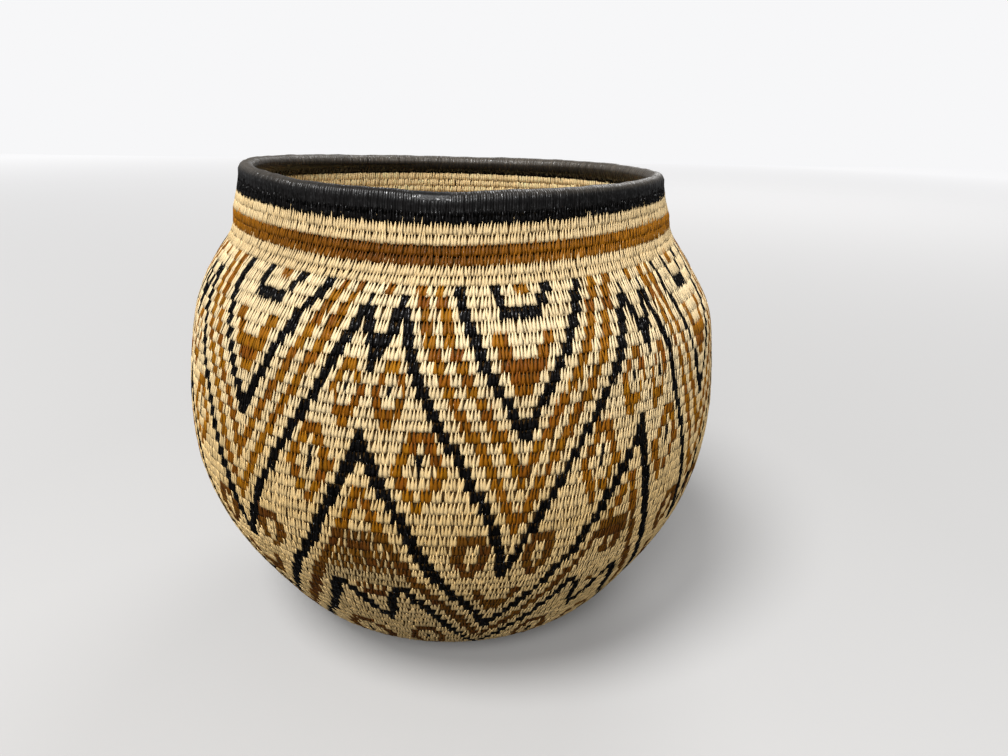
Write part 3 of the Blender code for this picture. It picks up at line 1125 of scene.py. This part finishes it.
def wrapPoint(angle, u, under):
    # Along a wrap, u from 0 to 1: from a foot on the outside of the wall, round the roll
    # by its angle, to a foot inside. Near its feet it blends from roll to wall
    share = rim["blendShare"]
    swell = smoothStep(u / share) * smoothStep((1.0 - u) / share)
    roll = np.radians(rim["rollFrom"] + rim["rollBy"] * u)
    over = rollPoint(angle, roll, rim["radius"] * (1.0 + lumpOf(angle)) - under)
    risen = np.minimum(u, 1.0 - u) / share * rim["footRise"]
    foot = wallLength - rim["footBelow"] * (1.0 - risen)
    stands = rim["footStands"]
    depth = np.where(u < 0.5, -stands + under, coil["thickness"] + stands - under)
    wallPoint = place(angle, foot, depth)
    return over * swell[..., None] + wallPoint * (1.0 - swell[..., None])


def wrapRim():
    # A wrap has a left edge, a ridge and a right edge, and runs to a point at both feet
    count = rim["wraps"]
    angle = 2.0 * np.pi * (np.arange(count) + 0.5) / count - np.pi
    ends, moved, wider, sunk = dice.normal(size=(4, count, 1))
    even = np.linspace(0.0, 1.0, rim["steps"])
    atEnds = np.abs(even - 0.5) == 0.5
    u = np.clip(even[None, :] + rim["endChance"] * ends * atEnds, 0.0, 1.0)
    spacing = 2.0 * np.pi / count
    station = angle[:, None] + (u - 0.5) * rim["wrapLength"] * rim["lean"] / rimRadius
    station = station + spacing * rim["placeChance"] * moved
    width = rim["halfWidth"] * spacing * (1.0 + rim["widthChance"] * wider) * np.ones_like(u)
    width[:, [0, -1]] = 0.0
    sideways = np.array([-1.0, 0.0, 1.0])
    deeper = rim["wrapDepth"] * np.abs(sideways)
    angles = station[:, :, None] + width[:, :, None] * sideways
    atTips = np.abs(u - 0.5) > 0.5 - rim["tipShare"]
    sunk = rim["tipDepth"] * atTips + rim["depthChance"] * sunk
    under = sunk[:, :, None] + deeper * (width[:, :, None] > 0.0)
    points = wrapPoint(angles, np.broadcast_to(u[:, :, None], angles.shape), under)
    sides = len(sideways)
    colours = strandColours(np.full(count, black), 0, angle, np.ones(rim["steps"]), sides)
    # Dust, and painted sheen where the tops catch the light from above, make the tops of
    # the wraps a warm grey, less of it at the front
    tops = np.sin(np.radians(rim["rollFrom"] - rim["dustAndSheenTurned"] + rim["rollBy"] * even))
    dustAndSheenShare = rim["dustAndSheen"] * smoothStep((tops - rim["dustAndSheenFrom"]) / rim["dustAndSheenRise"])
    dustAndSheenShare = overCorners(dustAndSheenShare, sides)[None, :, None]
    lessAtFront = rim["greyLeast"] * np.exp(-((angle - rim["greyLeastAt"]) / rim["greyLeastWidth"]) ** 2)
    dustAndSheenShare = dustAndSheenShare * (dice.uniform(*rim["dustAndSheenChance"], size=count) * (1.0 - lessAtFront))[:, None, None]
    colours = colours * (1.0 - dustAndSheenShare) + np.array(rim["dustAndSheenColour"]) * dustAndSheenShare
    stack = MeshStack()
    template = strandTemplate(rim["steps"], sides)
    stack.add(strandCorners(points), template, colours, np.zeros(count, int), flip=True)
    return stack.build("rim_wrapping", [rimFibre])


def layRimCore():
    # Closed tube under the wraps: the roll's circle, laid at every angle round the axis
    angle = np.linspace(0.0, 2.0 * np.pi, rim["coreSteps"], endpoint=False)[:, None]
    roll = (2.0 * np.pi * (np.arange(rim["coreSides"]) + 0.5) / rim["coreSides"])[None, :]
    reach = rim["radius"] * (1.0 + lumpOf(angle)) - rim["coreUnder"]
    angle, roll = np.broadcast_arrays(angle, roll)
    return rollPoint(angle, roll, reach)


rimFibre = fibreMaterial("rimFibre")
wrapping = wrapRim()
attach(wrapping, "root")
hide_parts("rim_coil")
rimCore = tubeMesh(
    "rim_core", layRimCore(), True, rim["coreSteps"], rimFibre, fibreColours["black"][0]
)
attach(rimCore, "root")
print("rim wrapped")

# The stage: pale floor, pale surroundings, soft lamps
stage = dict(
    floorSize=6.0,
    floorHeight=-0.0003,
    floorColour=(0.48, 0.475, 0.47),
    floorRoughness=0.9,
    floorShine=0.1,
    farGlow=(0.75, 0.75, 0.76),  # lets the floor run out into the pale surroundings
    glowFrom=0.30,
    glowTo=3.3,
    floorBounce=0.05,
    worldColour=(0.93, 0.93, 0.94),
    worldLight=0.29,
    lampsAimAt=(0.0, 0.0, 0.1),
    lamps=dict(
        keyLamp=dict(power=68.0, spot=(-0.90, -1.00, 2.42), size=1.1),
        fillLamp=dict(power=42.0, spot=(-0.35, -1.95, 1.50), size=1.2),
        # So that the back isn't dark
        backLamp=dict(power=17.0, spot=(0.80, 1.65, 1.55), size=1.4),
    ),
)


def layFloor():
    half = stage["floorSize"] / 2.0
    mesh = bpy.data.meshes.new("stage_floor")
    low = stage["floorHeight"]
    mesh.from_pydata(
        [(-half, -half, low), (half, -half, low), (half, half, low), (-half, half, low)],
        [], [(0, 1, 2, 3)],
    )
    floor = putInScene("stage_floor", mesh)
    finish = Finish("stageFloor", Roughness=stage["floorRoughness"],
                    Specular_IOR_Level=stage["floorShine"], Emission_Strength=1.0)
    camera = finish.node("LightPath")
    colour = finish.node("Mix", output=2, settings=dict(data_type="RGBA"), n0=camera,
                         n6=(stage["floorBounce"],) * 3 + (1.0,), n7=(*stage["floorColour"], 1.0))
    distance = finish.node("VectorMath", output=1, settings=dict(operation="LENGTH"),
                           n0=finish.node("TexCoord", output=3))
    far = finish.node("MapRange", n0=distance, n1=stage["glowFrom"], n2=stage["glowTo"],
                      n3=0.0, n4=1.0)
    glow = finish.node("Mix", output=2, settings=dict(data_type="RGBA"), n0=camera * far,
                       n6=(0.0, 0.0, 0.0, 1.0), n7=(*stage["farGlow"], 1.0))
    finish.feedShader(Base_Color=colour, Emission_Color=glow)
    mesh.materials.append(finish.material)


def hangLamp(name, power, spot, size):
    light = bpy.data.lights.new(name, "AREA")
    light.shape = "DISK"
    light.size = size
    light.energy = power
    lamp = putInScene(name, light)
    turned = (Vector(spot) - Vector(stage["lampsAimAt"])).to_track_quat("Z", "Y")
    lamp.matrix_world = Matrix.Translation(spot) @ turned.to_matrix().to_4x4()


def lightWorld():
    world = bpy.data.worlds.new("stageWorld")
    bpy.context.scene.world = world
    world.use_nodes = True
    tree = world.node_tree
    background = tree.nodes["Background"]
    background.inputs["Color"].default_value = (*stage["worldColour"], 1.0)
    path = tree.nodes.new("ShaderNodeLightPath")
    shown = Value(path.outputs["Is Camera Ray"], tree)
    strength = stage["worldLight"] + shown * (1.0 - stage["worldLight"])
    feed(tree, background.inputs["Strength"], strength)


layFloor()
lightWorld()
for name, lamp in stage["lamps"].items():
    hangLamp(name, **lamp)

# The camera, as the photograph was taken
view = dict(
    place=(0.0, -0.3548, 0.2378),
    pitch=math.radians(20.0),
    pan=math.radians(3.9),
    roll=math.radians(1.18),
    focalPixels=757.0,
    widthPixels=1008.0,
    sensor=36.0,
    nearest=0.01,
)


def setCamera():
    pitch, pan, roll = view["pitch"], view["pan"], view["roll"]
    forward = np.array([math.sin(pan) * math.cos(pitch), math.cos(pan) * math.cos(pitch),
                        -math.sin(pitch)])
    level = np.array([math.cos(pan), -math.sin(pan), 0.0])
    upright = np.cross(level, forward)
    right = level * math.cos(roll) + upright * math.sin(roll)
    up = upright * math.cos(roll) - level * math.sin(roll)
    lens = bpy.data.cameras.new("photoCamera")
    lens.sensor_width = view["sensor"]
    lens.lens = view["focalPixels"] / view["widthPixels"] * view["sensor"]
    lens.clip_start = view["nearest"]
    camera = putInScene("photoCamera", lens)
    turned = Matrix([[right[i], up[i], -forward[i]] for i in range(3)]).to_4x4()
    camera.matrix_world = Matrix.Translation(view["place"]) @ turned
    bpy.context.scene.camera = camera


setCamera()
bpy.context.scene.view_settings.view_transform = "Standard"
print("stage set")
